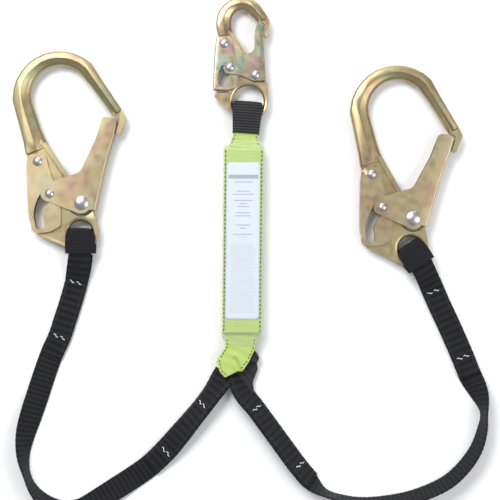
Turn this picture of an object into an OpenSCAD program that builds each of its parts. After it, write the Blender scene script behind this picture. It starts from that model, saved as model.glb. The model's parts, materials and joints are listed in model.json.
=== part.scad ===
// Twin-leg shock absorbing lanyard: a snap hook, a folded shock pack and
// two webbing legs with scaffold hooks, lying flat on a floor at z = 0.
// Every hook is drawn in its own frame, with the gate's hinge at the origin,
// its saddle towards +Y and its middle plane at z = 0.

/* [Webbing] */
// Width of the leg webbing
web_w = 25.4; // [24:0.2:27]
// Thickness of one layer of leg webbing
web_t = 2.4; // [2:0.1:2.8]
// Width of the wear pads on the scaffold hooks
pad_w = 34; // [31:0.5:35]
// Thickness of a wear pad or sleeve
pad_t = 1.5; // [1:0.1:1.8]

/* [Shock pack] */
// Width of the folded tear webbing
pack_w = 43.4; // [40:0.2:46]
// Length of the folded tear webbing
pack_l = 207; // [190:1:215]
// Thickness of the folded tear webbing
pack_t = 20.4; // [18:0.2:22]
// Thickness of the clear sleeve's film
film_t = 0.6; // [0.4:0.1:1]
// Width of the label
label_w = 37.5; // [30:0.5:39]
// Length of the label
label_l = 174; // [150:1:180]

/* [Hook plates] */
// Half thickness of the flat lower part of a hook body
body_half = 4; // [3.6:0.1:4.2]
// Half thickness of the scaffold hook's forged bow
bow_half = 6.5; // [5.5:0.1:6.5]
// Half thickness of the snap hook's forged bow
snap_bow_half = 6; // [5:0.1:6.2]
// Thickness of the gate and lever sheet
sheet_t = 2; // [1.6:0.1:2]
// Gap between the faces that slide on each other
slide_gap = 0.3; // [0.2:0.05:0.3]
// Height of a rivet's domed head
dome_h = 2.1; // [1.5:0.1:2.4]

/* [Fits] */
// Radial clearance of a hinge bore on its rivet
run_gap = 0.05; // [0.02:0.01:0.09]
// Radius of the scaffold hook's gate rivet
form_pivot_r = 5; // [4:0.1:5.2]
// Radius of the scaffold hook's lock pin
form_pin_r = 2.5; // [2:0.1:2.6]
// Radius of the snap hook's gate rivet
snap_pivot_r = 3; // [2.5:0.1:3.4]
// Radius of the snap hook's lock pin
snap_pin_r = 2.2; // [1.8:0.1:2.3]
// Radius of every lever rivet
lever_pivot_r = 3; // [2.5:0.1:3.2]

/* [Hidden] */
$fn = 64;

// heights, measured from a hook's middle plane
lever_in = body_half + slide_gap;
lever_out = lever_in + sheet_t;
gate_in = lever_out + slide_gap;
gate_out = gate_in + sheet_t;
head_gap = 0.1;
mid_z = gate_out + head_gap + dome_h;

// where the hooks and the pack lie: [x, y, turn]
left_hook = [-173, -9, 0];
right_hook = [195, -26, -3.3];
snap_hook = [20, 133, 0];
pack_mid = [6, -51, -0.6];

// scaffold hook
form_eye = [-1.4, -32.8];
form_eye_r = 13.2;
form_eye_out = 20.5;
form_boss_r = 14.8;
form_lever_pivot = [-48.5, 46.2];
form_lock = [-35, 10.3];
form_outer_c = [-24, 116];
form_outer_r = 52.6;
form_inner_c = [-24, 120.5];
form_inner_r = 32.6;
form_bow = concat(
    [[[-60.17, 53.86], [-37.11, 62.52], 0.55], [[-61.5, 54], [-36.2, 63.5]], [[-64.4, 68], [-40.8, 72]],
     [[-68.4, 83.5], [-46, 85]], [[-72.8, 100], [-51.2, 100.5]],
     [[-76, 111.5], [-55, 112]]],
    [for (a = [180 : -12 : 48])
        [form_outer_c + form_outer_r * [cos(a), sin(a)],
         form_inner_c + form_inner_r * [cos(a), sin(a)]]],
    [[[21.4, 138.5], [10.8, 129]], [[32.5, 121.9], [22.7, 112.9]],
     [[44.2, 104.5], [34.6, 96.9]],
     [[44.4, 101.3], [37.6, 97], 0.6]]);
form_nose = [[34.4, 99, 0], [36, 95.8, 0.6], [42.3, 93.2, 0.8], [41, 87, 5],
    [38.4, 76.9, 0.8], [43, 75.6, 1.5], [49.9, 94.6, 3.5], [44.2, 104.5, 3], [39, 108, 1]];
form_lower = [[-58.5, 58.5, 0], [-61.2, 54.6, 0], [-57.6, 46, 4], [-52.5, 36.5, 6], [-39, 27, 8],
    [-32.4, 17, 5], [-32.3, 6, 4], [-33, -3, 12], [-30.6, -14, 8], [-28.6, -24, 6],
    [-37, -30.2, 6], [-47.5, -31.8, 3], [-49.6, -35.6, 2], [-43, -38.3, 6],
    [-9, -51.9, 0], [-1.4, -32.8, 0], [19, -31, 0], [16.6, -19, 12], [13.4, -9, 8],
    [10, 0, 0], [3, 12, 0], [-9, 20, 8], [-15.2, 30.3, 2], [-36.9, 64.4, 0],
    [-41, 65.5, 0]];
form_rail = [[-48, 66.5, 1], [-42.2, 62.4, 3], [-20.3, 28.3, 1], [-15, 28.3, 1],
    [-37, 63.1, 0], [-39.8, 67, 0]];
form_pocket = [[-44, -34, 1], [-21.5, -29.6, 1.5], [-21.5, -43.2, 1]];
form_gate_edge = [[39.8, 91.4, 0], [37, 75.6, 60], [31.4, 59, 120], [27, 42, 200],
    [22.7, 22.6, 200], [18.9, 5.6, 100], [16.9, -4, 60], [16.2, -8, 0]];
form_gate_plan = [[-52.7, 7.6, 8.6], [-30, 24.3, 20], [-18.7, 28.5, 20], [-1.1, 34, 12],
    [15.6, 69.3, 40], [24.2, 95.2, 2], [36.5, 94.4, 3]];
form_gate_boss_r = 11.5;
form_gate_under = [[0, -6, 0], [-4.1, -10.8, 0]];
form_lever_edge = [[-60, 45.3, 0], [-60.9, 38, 60], [-59.2, 0, 300], [-58.2, -17, 30],
    [-55.6, -23.6, 0]];
form_lever_plan = [[-55, -31, 4], [-48.5, -33.6, 5], [-34, -31.6, 8], [-22.7, -25.6, 5],
    [-22.9, 4, 6], [-36.4, 40, 25], [-39.4, 54.2, 5], [-56.4, 54, 4],
    [-59.4, 50.5, 2]];
form_slot = [[-31.4, 13.4, 3], [-37, 15, 3], [-44.6, 12, 2.5], [-49, 3.5, 10],
    [-51.9, -5, 15], [-53.1, -14.5, 10], [-50.6, -26.6, 5], [-47.6, -29.4, 2.5],
    [-41.2, -28, 3], [-41, -20.5, 8], [-43.2, -12.6, 6], [-39.9, -4.6, 12], [-31.4, 6.8, 3]];

// snap hook
snap_eye = [-8.2, -29];
snap_eye_r = 17.3;
snap_eye_out = 22.4;
snap_boss_r = 8.6;
snap_lever_pivot = [-34.7, 35];
snap_lock = [-28.2, 8.2];
snap_outer_c = [-15, 57.5];
snap_outer_r = 28.8;
snap_inner_c = [-15.3, 61.3];
snap_inner_r = 11.1;
snap_bow = concat(
    [[[-40.2, 44.25], [-23.9, 44.05], 0.6], [[-41.4, 44.6], [-22.7, 44.4]],
     [[-43.2, 51.5], [-26.4, 51.5]]],
    [for (a = [180 : -15 : 45])
        [snap_outer_c + snap_outer_r * [cos(a), sin(a)],
         snap_inner_c + snap_inner_r * [cos(a), sin(a)]]],
    [[[9.4, 71.2], [-2.2, 63.8]], [[14, 65.2], [3.3, 57.7]],
     [[13.2, 61.8], [6.6, 59.4], 0.6]]);
snap_nose = [[3.4, 59.6, 0], [4.2, 57.4, 0.6], [8.8, 58.4, 1], [10.3, 56, 1], [10.9, 50, 4],
    [9.9, 43, 0.8], [12.6, 41.6, 1.2], [15.3, 46, 3], [15.6, 61.5, 4], [12.9, 65.9, 1], [8, 66, 1]];
snap_lower = [[-38, 48.5, 0], [-41, 45.6, 0], [-40.6, 33, 4], [-36.5, 26.5, 5], [-27.5, 16.5, 5],
    [-25.4, 8, 4], [-26, -2, 8], [-25.2, -19.2, 2], [-43.4, -20.3, 0.8], [-46.3, -23, 1.4],
    [-23.8, -45, 0], [-8.2, -29, 0], [14.2, -29, 0], [14.4, -16, 10], [13.6, -8.6, 1],
    [6.6, -8.6, 1], [8.6, 0, 0], [3, 8, 0], [-4.6, 12.5, 5], [-9.6, 23, 3], [-24.2, 46.2, 0],
    [-27.5, 48.5, 0]];
snap_rail = [[-31.5, 48.5, 1], [-27.8, 44.8, 2], [-22.9, 39.8, 3], [-13.4, 23.6, 1],
    [-10.9, 23.6, 1], [-24.7, 45.5, 0], [-27.4, 48.6, 0]];
snap_gate_edge = [[9.3, 56.4, 0], [9.3, 36, 150], [11.9, -6.4, 0]];
snap_gate_plan = [[-32.4, 14.3, 1], [-17, 20.4, 10], [-1, 26, 7], [-1, 47, 20], [2.2, 57.4, 2]];
snap_gate_under = [[-3, -6.6, 6], [-11, -2.6, 8], [-20, 0.2, 10], [-30, 1.1, 1]];
snap_gate_end_r = 7.3;
snap_lever_edge = [[-43, 42, 0], [-44.9, 30, 40], [-46.6, 0, 200], [-47, -16.4, 0]];
snap_lever_plan = [[-31, -16.6, 10], [-20.4, -14, 5], [-18.7, 2, 8], [-24.6, 34, 20],
    [-27, 43.4, 5]];
snap_slot = [[-25.2, 11, 2.5], [-30, 12.2, 3], [-36.8, 10.6, 2], [-40.6, 3, 10],
    [-42.2, -5, 8], [-40.4, -12.2, 4], [-32, -12.2, 4], [-31.4, -6.5, 4],
    [-29.9, -0.4, 6], [-25.2, 5.2, 2.5]];

// webbing round the eyes, in a frame at the eye's centre, with the strap towards -Y
left_strap = 0;
right_strap = 33.7;
snap_strap = -4;
loop_in = body_half + 0.4;
pad_in = loop_in + web_t + 0.1;
// plans of the webbing and the pad: the half width in the eye, then the full width
form_loop_plan = [[-11, 3.8, 2], [11, 3.8, 2], [web_w / 2, -3, 3], [web_w / 2, -23.2, 0],
    [-web_w / 2, -23.2, 0], [-web_w / 2, -3, 3]];
form_pad_plan = [[-11.6, 5.4, 2], [11.6, 5.4, 2], [pad_w / 2, -3, 3], [pad_w / 2, -23, 1],
    [-pad_w / 2, -23, 1], [-pad_w / 2, -3, 3]];
snap_loop_plan = [[-13, -1.4, 2], [13, -1.4, 2], [13, -37, 4], [18, -51.4, 0],
    [-18, -51.4, 0], [-13, -37, 4]];
snap_sleeve_plan = [[-15.6, 0.3, 2], [15.6, 0.3, 2], [17, -6, 3], [14.8, -36, 1],
    [-14.8, -36, 1], [-17, -6, 3]];
loop_fold = 3.8;
loop_end = -23.2;

// Leg routes along the middle of the webbing: [x, y, tilt of its width, extra height]
left_route = [[-174, -65, 0, 4], [-176, -80, 0, 2], [-180, -97, 0, 0.6], [-185, -115, 0, 0],
    [-192, -137, 0, 0], [-199, -158, 0, 0], [-208, -178, 0, 0], [-216, -200, 0, 0],
    [-223, -222, -8, 0], [-230, -244, -20, 0], [-236, -267, -42, 0], [-238, -290, -66, 0],
    [-234, -311, -82, 0], [-226, -328, -76, 0], [-212, -342, -62, 0], [-195, -350, -48, 0],
    [-176, -350, -32, 0], [-159, -342, -18, 0], [-138, -329, -8, 0], [-116, -315, 0, 0],
    [-98, -302, 0, 0], [-80, -285, -12, 0], [-65, -268, -26, 0], [-50, -250, -38, 0],
    [-37, -234, -42, 0], [-26, -219, -38, 0], [-19, -208, -24, 0], [-13, -198, -10, 0]];
right_route = [[205, -77, 0, 4], [212, -91, 0, 2], [219, -107, 0, 0.6], [226, -123, 0, 0],
    [234, -140, 0, 0], [243, -160, 0, 0], [252, -181, 0, 0], [260, -201, 12, 0],
    [269, -221, 44, 0], [274, -242, 80, 0], [272, -262, 74, 0], [265, -283, 68, 0],
    [252, -302, 65, 0], [235, -318, 64, 0], [214, -329, 64, 0], [190, -337, 65, 0],
    [165, -341, 68, 0], [140, -342, 72, 0], [118, -338, 78, 0], [98, -331, 78, 0],
    [82, -319, 48, 0], [67, -302, 43, 0], [50, -279, 43, 0], [34, -257, 43, 0],
    [20, -238, 43, 0], [8, -223, 38, 0], [3, -211, 24, 0], [1, -199, 10, 0]];
left_hook_sewn = [2, 6];
left_pack_sewn = [20, 25];
right_hook_sewn = [2, 7];
right_pack_sewn = [20, 25];

// lime loop at the foot of the pack and the black webbing that runs through it
lower_loop_plan = [[-15, -154.4, 0], [-12.5, -168, 8], [-23.4, -183, 5], [-20, -196, 12],
    [-14, -203, 2], [1.2, -195.2, 2], [4.8, -197, 1.5], [12.5, -186, 10], [20.5, -169, 3],
    [22, -154.4, 0]];
lower_loop_gap = [[-40, -160, 0], [-40, -186, 0], [-14, -197, 1], [3, -189, 2], [40, -186, 0],
    [40, -160, 0]];
lower_loop_z = [7.6, 15.4];
lower_loop_gap_z = [9.9, 13.1];
joining_under = [[-24, -206, 2], [-15, -190, 6], [2, -172, 6], [19, -172.5, 4], [25, -181, 5],
    [21.6, -187.5, 4], [22.8, -194, 6], [17, -209, 8], [19, -221, 3], [6, -224, 2],
    [-8, -212, 0], [-13, -215.5, 0], [-23, -224, 2], [-33, -214, 2]];
joining_inside = [[-16, -190, 2], [-12, -176, 4], [18, -173.5, 4], [23.8, -181, 4], [18, -185, 3],
    [1, -186, 4], [-12, -193, 2]];
joining_wall = [[17, -174, 1], [20.5, -174, 2], [24.8, -181, 3], [21, -187, 2], [17, -186, 1]];
joining_z = [1, 7.2];
joining_inside_z = [10.2, 12.8];

/* ---------- shapes that repeat ---------- */

function unit(v) = v / norm(v);
function flat(p) = [p[0], p[1]];

// points of one rounded corner at b, between a and c
function corner(a, b, c, r) =
    let (u = unit(a - b), v = unit(c - b),
         half = acos(max(-1, min(1, u * v))) / 2)
    r == 0 || half > 88.5 ? [b] :
    let (reach = min(r / tan(half), norm(a - b) * 0.48, norm(c - b) * 0.48),
         rr = reach * tan(half),
         mid = b + unit(u + v) * rr / sin(half),
         from = b + u * reach - mid, to = b + v * reach - mid,
         a0 = atan2(from[1], from[0]), a1 = atan2(to[1], to[0]),
         sweep = a1 - a0 > 180 ? a1 - a0 - 360 : a1 - a0 < -180 ? a1 - a0 + 360 : a1 - a0,
         n = max(2, ceil(abs(sweep) / 14)))
    [for (i = [0 : n]) mid + rr * [cos(a0 + sweep * i / n), sin(a0 + sweep * i / n)]];

// an outline of [x, y, radius] corners as plain points
function rounded(pts) =
    let (n = len(pts))
    [for (i = [0 : n - 1])
        each corner(flat(pts[(i + n - 1) % n]), flat(pts[i]), flat(pts[(i + 1) % n]), pts[i][2])];

module plate(pts, half) {
    translate([0, 0, -half]) linear_extrude(2 * half) polygon(rounded(pts));
}

module disc(at, r, half) {
    translate([at[0], at[1], -half]) cylinder(r = r, h = 2 * half);
}

// a skin over rings of equal length, closed at both ends
module skin(rings) {
    k = len(rings[0]);
    last = len(rings) - 1;
    polyhedron(
        points = [for (ring = rings) each ring],
        faces = concat(
            [[for (j = [k - 1 : -1 : 0]) j]],
            [for (i = [0 : last - 1], j = [0 : k - 1])
                let (a = i * k + j, b = i * k + (j + 1) % k)
                each j < k / 2 ? [[a, b, b + k], [a, b + k, a + k]]
                               : [[a, b, a + k], [b, b + k, a + k]]],
            [[for (j = [0 : k - 1]) last * k + j]]),
        convexity = 8);
}

// cross-section of a forged bow of width w: a raised outer band, a step and a sloped inner side
function bow_profile(w, half) =
    let (top = [[0, half - 2.2], [0.7, half - 0.8], [2, half], [0.48 * w, half],
                [0.48 * w + 1, half - 0.8], [w - 4, half - 1.6], [w - 1.2, half - 3.2],
                [w, half - 5.2]])
    concat(top, [for (i = [len(top) - 1 : -1 : 0]) [top[i][0], -top[i][1]]]);

// a ring across the bow; a third value flattens it, so that the bow's ends sink into the plates
function bow_ring(pair, half) =
    let (dir = unit(pair[1] - pair[0]), thin = len(pair) > 2 ? pair[2] : 1)
    [for (p = bow_profile(norm(pair[1] - pair[0]), half))
        [pair[0][0] + dir[0] * p[0], pair[0][1] + dir[1] * p[0], -p[1] * thin]];

module bow(stations, half) {
    skin([for (s = stations) bow_ring(s, half)]);
}

// an open path of [x, y, radius] corners as plain points
function eased(path) =
    let (n = len(path))
    concat([flat(path[0])],
        [for (i = [1 : n - 2])
            each corner(flat(path[i - 1]), flat(path[i]), flat(path[i + 1]), path[i][2])],
        [flat(path[n - 1])]);

// the same path moved sideways: to the right of its travel by a positive depth
function beside(path, depth) =
    [for (i = [0 : len(path) - 1])
        let (d = unit(path[min(i + 1, len(path) - 1)] - path[max(i - 1, 0)]))
        path[i] + depth * [d[1], -d[0]]];

function backwards(list) = [for (i = [len(list) - 1 : -1 : 0]) list[i]];

// the web of a folded sheet channel
module web(edge, depth, half) {
    path = eased(edge);
    translate([0, 0, -half]) linear_extrude(2 * half)
        polygon(concat(path, backwards(beside(path, depth))));
}

module both_sides(z) {
    for (s = [0, 1]) mirror([0, 0, s]) translate([0, 0, z]) children();
}

module dome(r) {
    ball = (r * r + dome_h * dome_h) / (2 * dome_h);
    span = asin(r / ball);
    rotate_extrude() polygon(concat([[0, 0]],
        [for (i = [8 : -1 : 0]) [ball * sin(span * i / 8), ball * cos(span * i / 8) - ball + dome_h]]));
}

module rivet(at, r, head_r, reach) {
    translate([at[0], at[1], 0]) {
        cylinder(r = r, h = 2 * reach, center = true);
        both_sides(reach) dome(head_r);
    }
}

// rounded mouth of a hole, cut from a face at z = body_half
module mouth(r, wide, deep) {
    rotate_extrude() polygon(concat(
        [[0, body_half - deep]],
        [for (i = [0 : 6]) [r + wide * (1 - cos(i * 15)), body_half - deep * (1 - sin(i * 15))]],
        [[r + wide, body_half + 1], [0, body_half + 1]]));
}

// a spring coil in each face of a body
module coils(r) {
    both_sides(spring_floor + spring_wire)
        rotate_extrude() translate([r, 0]) circle(r = spring_wire, $fn = 16);
}

// a stretch of leg webbing between two points of its route, shifted off its own middle by lift
function band_z(point) =
    web_w / 2 * abs(sin(point[2])) + web_t / 2 * cos(point[2]) + point[3];

function band_ring(at, dir, tilt, w, lift) =
    let (side = [-dir[1], dir[0], 0],
         across = cos(tilt) * side + [0, 0, sin(tilt)],
         up = -sin(tilt) * side + [0, 0, cos(tilt)],
         a = w / 2, b = web_t / 2, c = 0.6)
    [for (p = [[-a, b - c], [-a + c, b], [a - c, b], [a, b - c],
               [a, -b + c], [a - c, -b], [-a + c, -b], [-a, -b + c]])
        at + across * p[0] + up * (p[1] + lift)];

function route_ring(route, i, w, lift) =
    let (a = route[max(i - 1, 0)], b = route[min(i + 1, len(route) - 1)],
         dir = unit(flat(b) - flat(a)))
    band_ring([route[i][0], route[i][1], band_z(route[i])], dir, route[i][2], w, lift);

function turned(v, a) = [v[0] * cos(a) - v[1] * sin(a), v[0] * sin(a) + v[1] * cos(a)];

function route_rings(route, span, w, lift) =
    [for (i = [span[0] : span[1]]) route_ring(route, i, w, lift)];

/* ---------- hook parts, in the hook's own frame ---------- */

spring_wire = 0.85;
spring_floor = 1.8;
form_coil_r = 13.8;
snap_coil_r = 6.2;
lever_coil_r = 4.6;

module body_cuts(eye, eye_r, pivot_r, coil_r, lever_pivot) {
    disc(eye, eye_r, 20);
    translate([eye[0], eye[1], 0]) both_sides(0) mouth(eye_r, 4, 2.6);
    disc([0, 0], pivot_r, 20);
    disc(lever_pivot, lever_pivot_r, 20);
    both_sides(spring_floor) {
        difference() {
            cylinder(r = coil_r + 1.2, h = 5);
            cylinder(r = coil_r - 1.2, h = 5);
        }
        translate([lever_pivot[0], lever_pivot[1], 0]) cylinder(r = lever_coil_r + 1.1, h = 5);
    }
}

module form_body() {
    difference() {
        union() {
            bow(form_bow, bow_half);
            plate(form_nose, 4.6);
            plate(form_lower, body_half);
            plate(form_rail, bow_half - 0.8);
            disc(form_eye, form_eye_out, body_half);
            disc([0, 0], form_boss_r, body_half);
        }
        body_cuts(form_eye, form_eye_r, form_pivot_r, form_coil_r, form_lever_pivot);
        both_sides(body_half - 1) linear_extrude(3) polygon(rounded(form_pocket));
    }
}

module snap_body() {
    difference() {
        union() {
            bow(snap_bow, snap_bow_half);
            plate(snap_nose, 4.4);
            plate(snap_lower, body_half);
            plate(snap_rail, snap_bow_half - 0.8);
            disc(snap_eye, snap_eye_out, body_half);
            disc([0, 0], snap_boss_r, body_half);
        }
        body_cuts(snap_eye, snap_eye_r, snap_pivot_r, snap_coil_r, snap_lever_pivot);
    }
}

module cheeks(low, high) {
    both_sides(low) linear_extrude(high - low) children();
}

module form_gate() {
    difference() {
        union() {
            web(form_gate_edge, sheet_t, gate_in + 0.1);
            cheeks(gate_in, gate_out) {
                polygon(rounded(concat(form_gate_plan,
                    form_gate_edge, form_gate_under)));
                circle(r = form_gate_boss_r);
            }
        }
        disc([0, 0], form_pivot_r + run_gap, 20);
        disc(form_lock, form_pin_r, 20);
    }
}

module snap_gate() {
    difference() {
        union() {
            web(snap_gate_edge, sheet_t, gate_in + 0.1);
            cheeks(gate_in, gate_out) {
                polygon(rounded(concat(snap_gate_plan,
                    snap_gate_edge, snap_gate_under)));
                translate(snap_lock) circle(r = snap_gate_end_r);
            }
        }
        disc([0, 0], snap_pivot_r + run_gap, 20);
        disc(snap_lock, snap_pin_r, 20);
    }
}

module form_lever() {
    difference() {
        union() {
            web(form_lever_edge, -sheet_t, lever_in + 0.1);
            cheeks(lever_in, lever_out)
                polygon(rounded(concat(form_lever_edge,
                    form_lever_plan)));
        }
        disc(form_lever_pivot, lever_pivot_r + run_gap, 20);
        translate([0, 0, -20]) linear_extrude(40) polygon(rounded(form_slot));
    }
}

module snap_lever() {
    difference() {
        union() {
            web(snap_lever_edge, -sheet_t, lever_in + 0.1);
            cheeks(lever_in, lever_out)
                polygon(rounded(concat(snap_lever_edge,
                    snap_lever_plan)));
        }
        disc(snap_lever_pivot, lever_pivot_r + run_gap, 20);
        translate([0, 0, -20]) linear_extrude(40) polygon(rounded(snap_slot));
    }
}

module at_hook(place) {
    translate([place[0], place[1], mid_z]) rotate([0, 0, place[2]]) children();
}

module eye_frame(hook, eye, turn) {
    at_hook([hook[0], hook[1], hook[2]]) translate([eye[0], eye[1], 0])
        rotate([0, 0, turn - hook[2]]) children();
}

// webbing bent round an eye's rim: two layers joined by a fold inside the eye
module eye_loop(plan, fold_y, end_y, low, t) {
    intersection() {
        plate(plan, low + t);
        rotate([90, 0, 90]) translate([0, 0, -30]) linear_extrude(60) difference() {
            polygon(rounded([[fold_y, low + t, 4], [fold_y, -low - t, 4],
                [end_y, -low - t, 0], [end_y, low + t, 0]]));
            polygon(rounded([[fold_y - t, low, 2], [fold_y - t, -low, 2],
                [end_y - 1, -low, 0], [end_y - 1, low, 0]]));
        }
    }
}

/* ---------- sub-parts ---------- */

gold = [0.74, 0.68, 0.50];
pale_gold = [0.78, 0.73, 0.58];
bright_gold = [0.76, 0.69, 0.40];
steel = [0.78, 0.79, 0.82];
dark_steel = [0.35, 0.34, 0.33];
black_web = [0.15, 0.15, 0.17];
lime = [0.72, 0.86, 0.36];
clear = [0.90, 0.95, 0.90, 0.35];
paper = [0.92, 0.94, 0.96];
white_thread = [0.9, 0.9, 0.88];

module form_gate_rivet() rivet([0, 0], form_pivot_r, 8, gate_out + head_gap);
module snap_gate_rivet_shape() rivet([0, 0], snap_pivot_r, 5.3, gate_out + head_gap);
module lever_rivet_shape(at) rivet(at, lever_pivot_r, 5.35, lever_out + head_gap);

module snap_hook_body() color(gold) at_hook(snap_hook) snap_body();
module snap_gate_part() color(bright_gold) at_hook(snap_hook) snap_gate();
module snap_lock_lever() color(bright_gold) at_hook(snap_hook) snap_lever();
module snap_gate_rivet() color(steel) at_hook(snap_hook) snap_gate_rivet_shape();
module snap_lever_rivet() color(steel) at_hook(snap_hook) lever_rivet_shape(snap_lever_pivot);
module snap_lock_pin() color(steel) at_hook(snap_hook) rivet(snap_lock, snap_pin_r, 5.2, gate_out);
module snap_gate_spring() color(dark_steel) at_hook(snap_hook) coils(snap_coil_r);
module snap_lever_spring() color(dark_steel) at_hook(snap_hook)
    translate([snap_lever_pivot[0], snap_lever_pivot[1], 0]) coils(lever_coil_r);

module left_hook_body() color(pale_gold) at_hook(left_hook) form_body();
module left_gate() color(pale_gold) at_hook(left_hook) form_gate();
module left_lock_lever() color(pale_gold) at_hook(left_hook) form_lever();
module left_gate_rivet() color(steel) at_hook(left_hook) form_gate_rivet();
module left_lever_rivet() color(steel) at_hook(left_hook) lever_rivet_shape(form_lever_pivot);
module left_lock_pin() color(steel) at_hook(left_hook) rivet(form_lock, form_pin_r, 5.15, gate_out);
module left_gate_spring() color(dark_steel) at_hook(left_hook) coils(form_coil_r);
module left_lever_spring() color(dark_steel) at_hook(left_hook)
    translate([form_lever_pivot[0], form_lever_pivot[1], 0]) coils(lever_coil_r);

module right_hook_body() color(pale_gold) at_hook(right_hook) form_body();
module right_gate() color(pale_gold) at_hook(right_hook) form_gate();
module right_lock_lever() color(pale_gold) at_hook(right_hook) form_lever();
module right_gate_rivet() color(steel) at_hook(right_hook) form_gate_rivet();
module right_lever_rivet() color(steel) at_hook(right_hook) lever_rivet_shape(form_lever_pivot);
module right_lock_pin() color(steel) at_hook(right_hook) rivet(form_lock, form_pin_r, 5.15, gate_out);
module right_gate_spring() color(dark_steel) at_hook(right_hook) coils(form_coil_r);
module right_lever_spring() color(dark_steel) at_hook(right_hook)
    translate([form_lever_pivot[0], form_lever_pivot[1], 0]) coils(lever_coil_r);

// the pack's own frame: middle of its underside, with its length along Y
film_gap = 0.5;
pack_z = film_t + film_gap;
label_t = 0.3;
stitch_pitch = 4.7;
stitch_l = 2.6;
stitch_w = 1.1;
stitch_inset = 1.7;
film_over = 3;

module at_pack() {
    translate([pack_mid[0], pack_mid[1], 0]) rotate([0, 0, pack_mid[2]]) children();
}

// a bar with rounded long edges, lying along Y on z = low
module soft_bar(w, l, t, low, r) {
    translate([0, 0, low + t / 2]) rotate([90, 0, 0]) linear_extrude(l, center = true)
        polygon(rounded([[-w / 2, -t / 2, r], [w / 2, -t / 2, r], [w / 2, t / 2, r], [-w / 2, t / 2, r]]));
}

module tear_webbing_pack() color(lime) at_pack() soft_bar(pack_w, pack_l, pack_t, pack_z, 1.6);

module clear_sleeve() color(clear) at_pack() difference() {
    soft_bar(pack_w + 2 * pack_z, pack_l + 2 * film_over, pack_t + 2 * pack_z, 0, 2.4);
    soft_bar(pack_w + 2 * film_gap, pack_l + 3 * film_over, pack_t + 2 * film_gap, film_t, 2);
}

module label_panel() color(paper) at_pack()
    translate([0, 0, pack_z + pack_t + label_t / 2]) cube([label_w, label_l, label_t], center = true);

module pack_stitching() color(black_web) at_pack()
    for (side = [-1, 1], i = [-21 : 21])
        translate([side * (pack_w / 2 - stitch_inset), i * stitch_pitch, pack_z + pack_t + label_t / 2])
            cube([stitch_w, stitch_l, label_t], center = true);

module upper_loop() color(lime) eye_frame(snap_hook, snap_eye, snap_strap)
    eye_loop(snap_loop_plan, -1.4, -51.4, loop_in, web_t);

module snap_wear_sleeve() color(black_web) eye_frame(snap_hook, snap_eye, snap_strap)
    eye_loop(snap_sleeve_plan, 0.3, -36, pad_in, pad_t);

module between(plan, z) {
    translate([0, 0, z[0]]) linear_extrude(z[1] - z[0]) polygon(rounded(plan));
}

module lower_loop() color(lime) difference() {
    between(lower_loop_plan, lower_loop_z);
    between(lower_loop_gap, lower_loop_gap_z);
}

module leg_joining_loop() color(black_web) {
    between(joining_under, joining_z);
    between(joining_inside, joining_inside_z);
    between(joining_wall, [joining_z[0], joining_inside_z[1]]);
}

// a leg's free run from the pad to the joining loop, one layer thick
module leg_webbing(route) skin(route_rings(route, [0, len(route) - 1], web_w, 0));

// the webbing round a scaffold hook's eye
module hook_loop(hook, turn) {
    eye_frame(hook, form_eye, turn) eye_loop(form_loop_plan, loop_fold, loop_end, loop_in, web_t);
}

// the two ends of a leg, folded back and sewn down on its free run
module sewn_layers(hook, turn, route, hook_span, pack_span) {
    eye = [hook[0], hook[1]] + turned(form_eye, hook[2]);
    start = eye + turned([0, loop_end], turn);
    skin(concat(
        [band_ring([start[0], start[1], mid_z + loop_in + web_t / 2],
            unit(flat(route[1]) - start), 0, web_w, 0)],
        route_rings(route, hook_span, web_w, web_t)));
    skin(route_rings(route, pack_span, web_w, web_t));
}

module wear_pad(hook, turn) {
    eye_frame(hook, form_eye, turn) eye_loop(form_pad_plan, 5.4, -23, pad_in, pad_t);
}

// white thread near each end of the sewn stretches
tack = [1, 6, 0.4];
module tacks(route, spans) {
    for (i = spans) {
        dir = unit(flat(route[i + 1]) - flat(route[i]));
        side = [-dir[1], dir[0]];
        for (k = [-1, 0, 1])
            translate([route[i][0] + side[0] * 6 * k, route[i][1] + side[1] * 6 * k,
                       band_z(route[i]) + 1.5 * web_t + tack[2] / 2])
                rotate([0, 0, atan2(dir[1], dir[0]) + 90 + 20 * k]) cube(tack, center = true);
    }
}

module left_leg_webbing() color(black_web) leg_webbing(left_route);
module left_sewn_layers() color(black_web)
    sewn_layers(left_hook, left_strap, left_route, left_hook_sewn, left_pack_sewn);
module left_hook_loop() color(black_web) hook_loop(left_hook, left_strap);
module left_wear_pad() color(black_web) wear_pad(left_hook, left_strap);
module left_bar_tacks() color(white_thread) tacks(left_route, [left_hook_sewn[0], left_hook_sewn[1] - 1]);
module right_leg_webbing() color(black_web) leg_webbing(right_route);
module right_sewn_layers() color(black_web)
    sewn_layers(right_hook, right_strap, right_route, right_hook_sewn, right_pack_sewn);
module right_hook_loop() color(black_web) hook_loop(right_hook, right_strap);
module right_wear_pad() color(black_web) wear_pad(right_hook, right_strap);
module right_bar_tacks() color(white_thread) tacks(right_route, [right_hook_sewn[0], right_hook_sewn[1] - 1]);

snap_hook_body();
snap_gate_part();  // snap_gate
snap_lock_lever();
snap_gate_rivet();
snap_lever_rivet();
snap_lock_pin();
snap_gate_spring();
snap_lever_spring();
left_hook_body();
left_gate();
left_lock_lever();
left_gate_rivet();
left_lever_rivet();
left_lock_pin();
left_gate_spring();
left_lever_spring();
right_hook_body();
right_gate();
right_lock_lever();
right_gate_rivet();
right_lever_rivet();
right_lock_pin();
right_gate_spring();
right_lever_spring();
tear_webbing_pack();
clear_sleeve();
label_panel();
pack_stitching();
upper_loop();
snap_wear_sleeve();
lower_loop();
leg_joining_loop();
left_leg_webbing();
left_sewn_layers();
left_hook_loop();
left_wear_pad();
left_bar_tacks();
right_leg_webbing();
right_sewn_layers();
right_hook_loop();
right_wear_pad();
right_bar_tacks();
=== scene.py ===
import json
import math
import random

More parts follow.
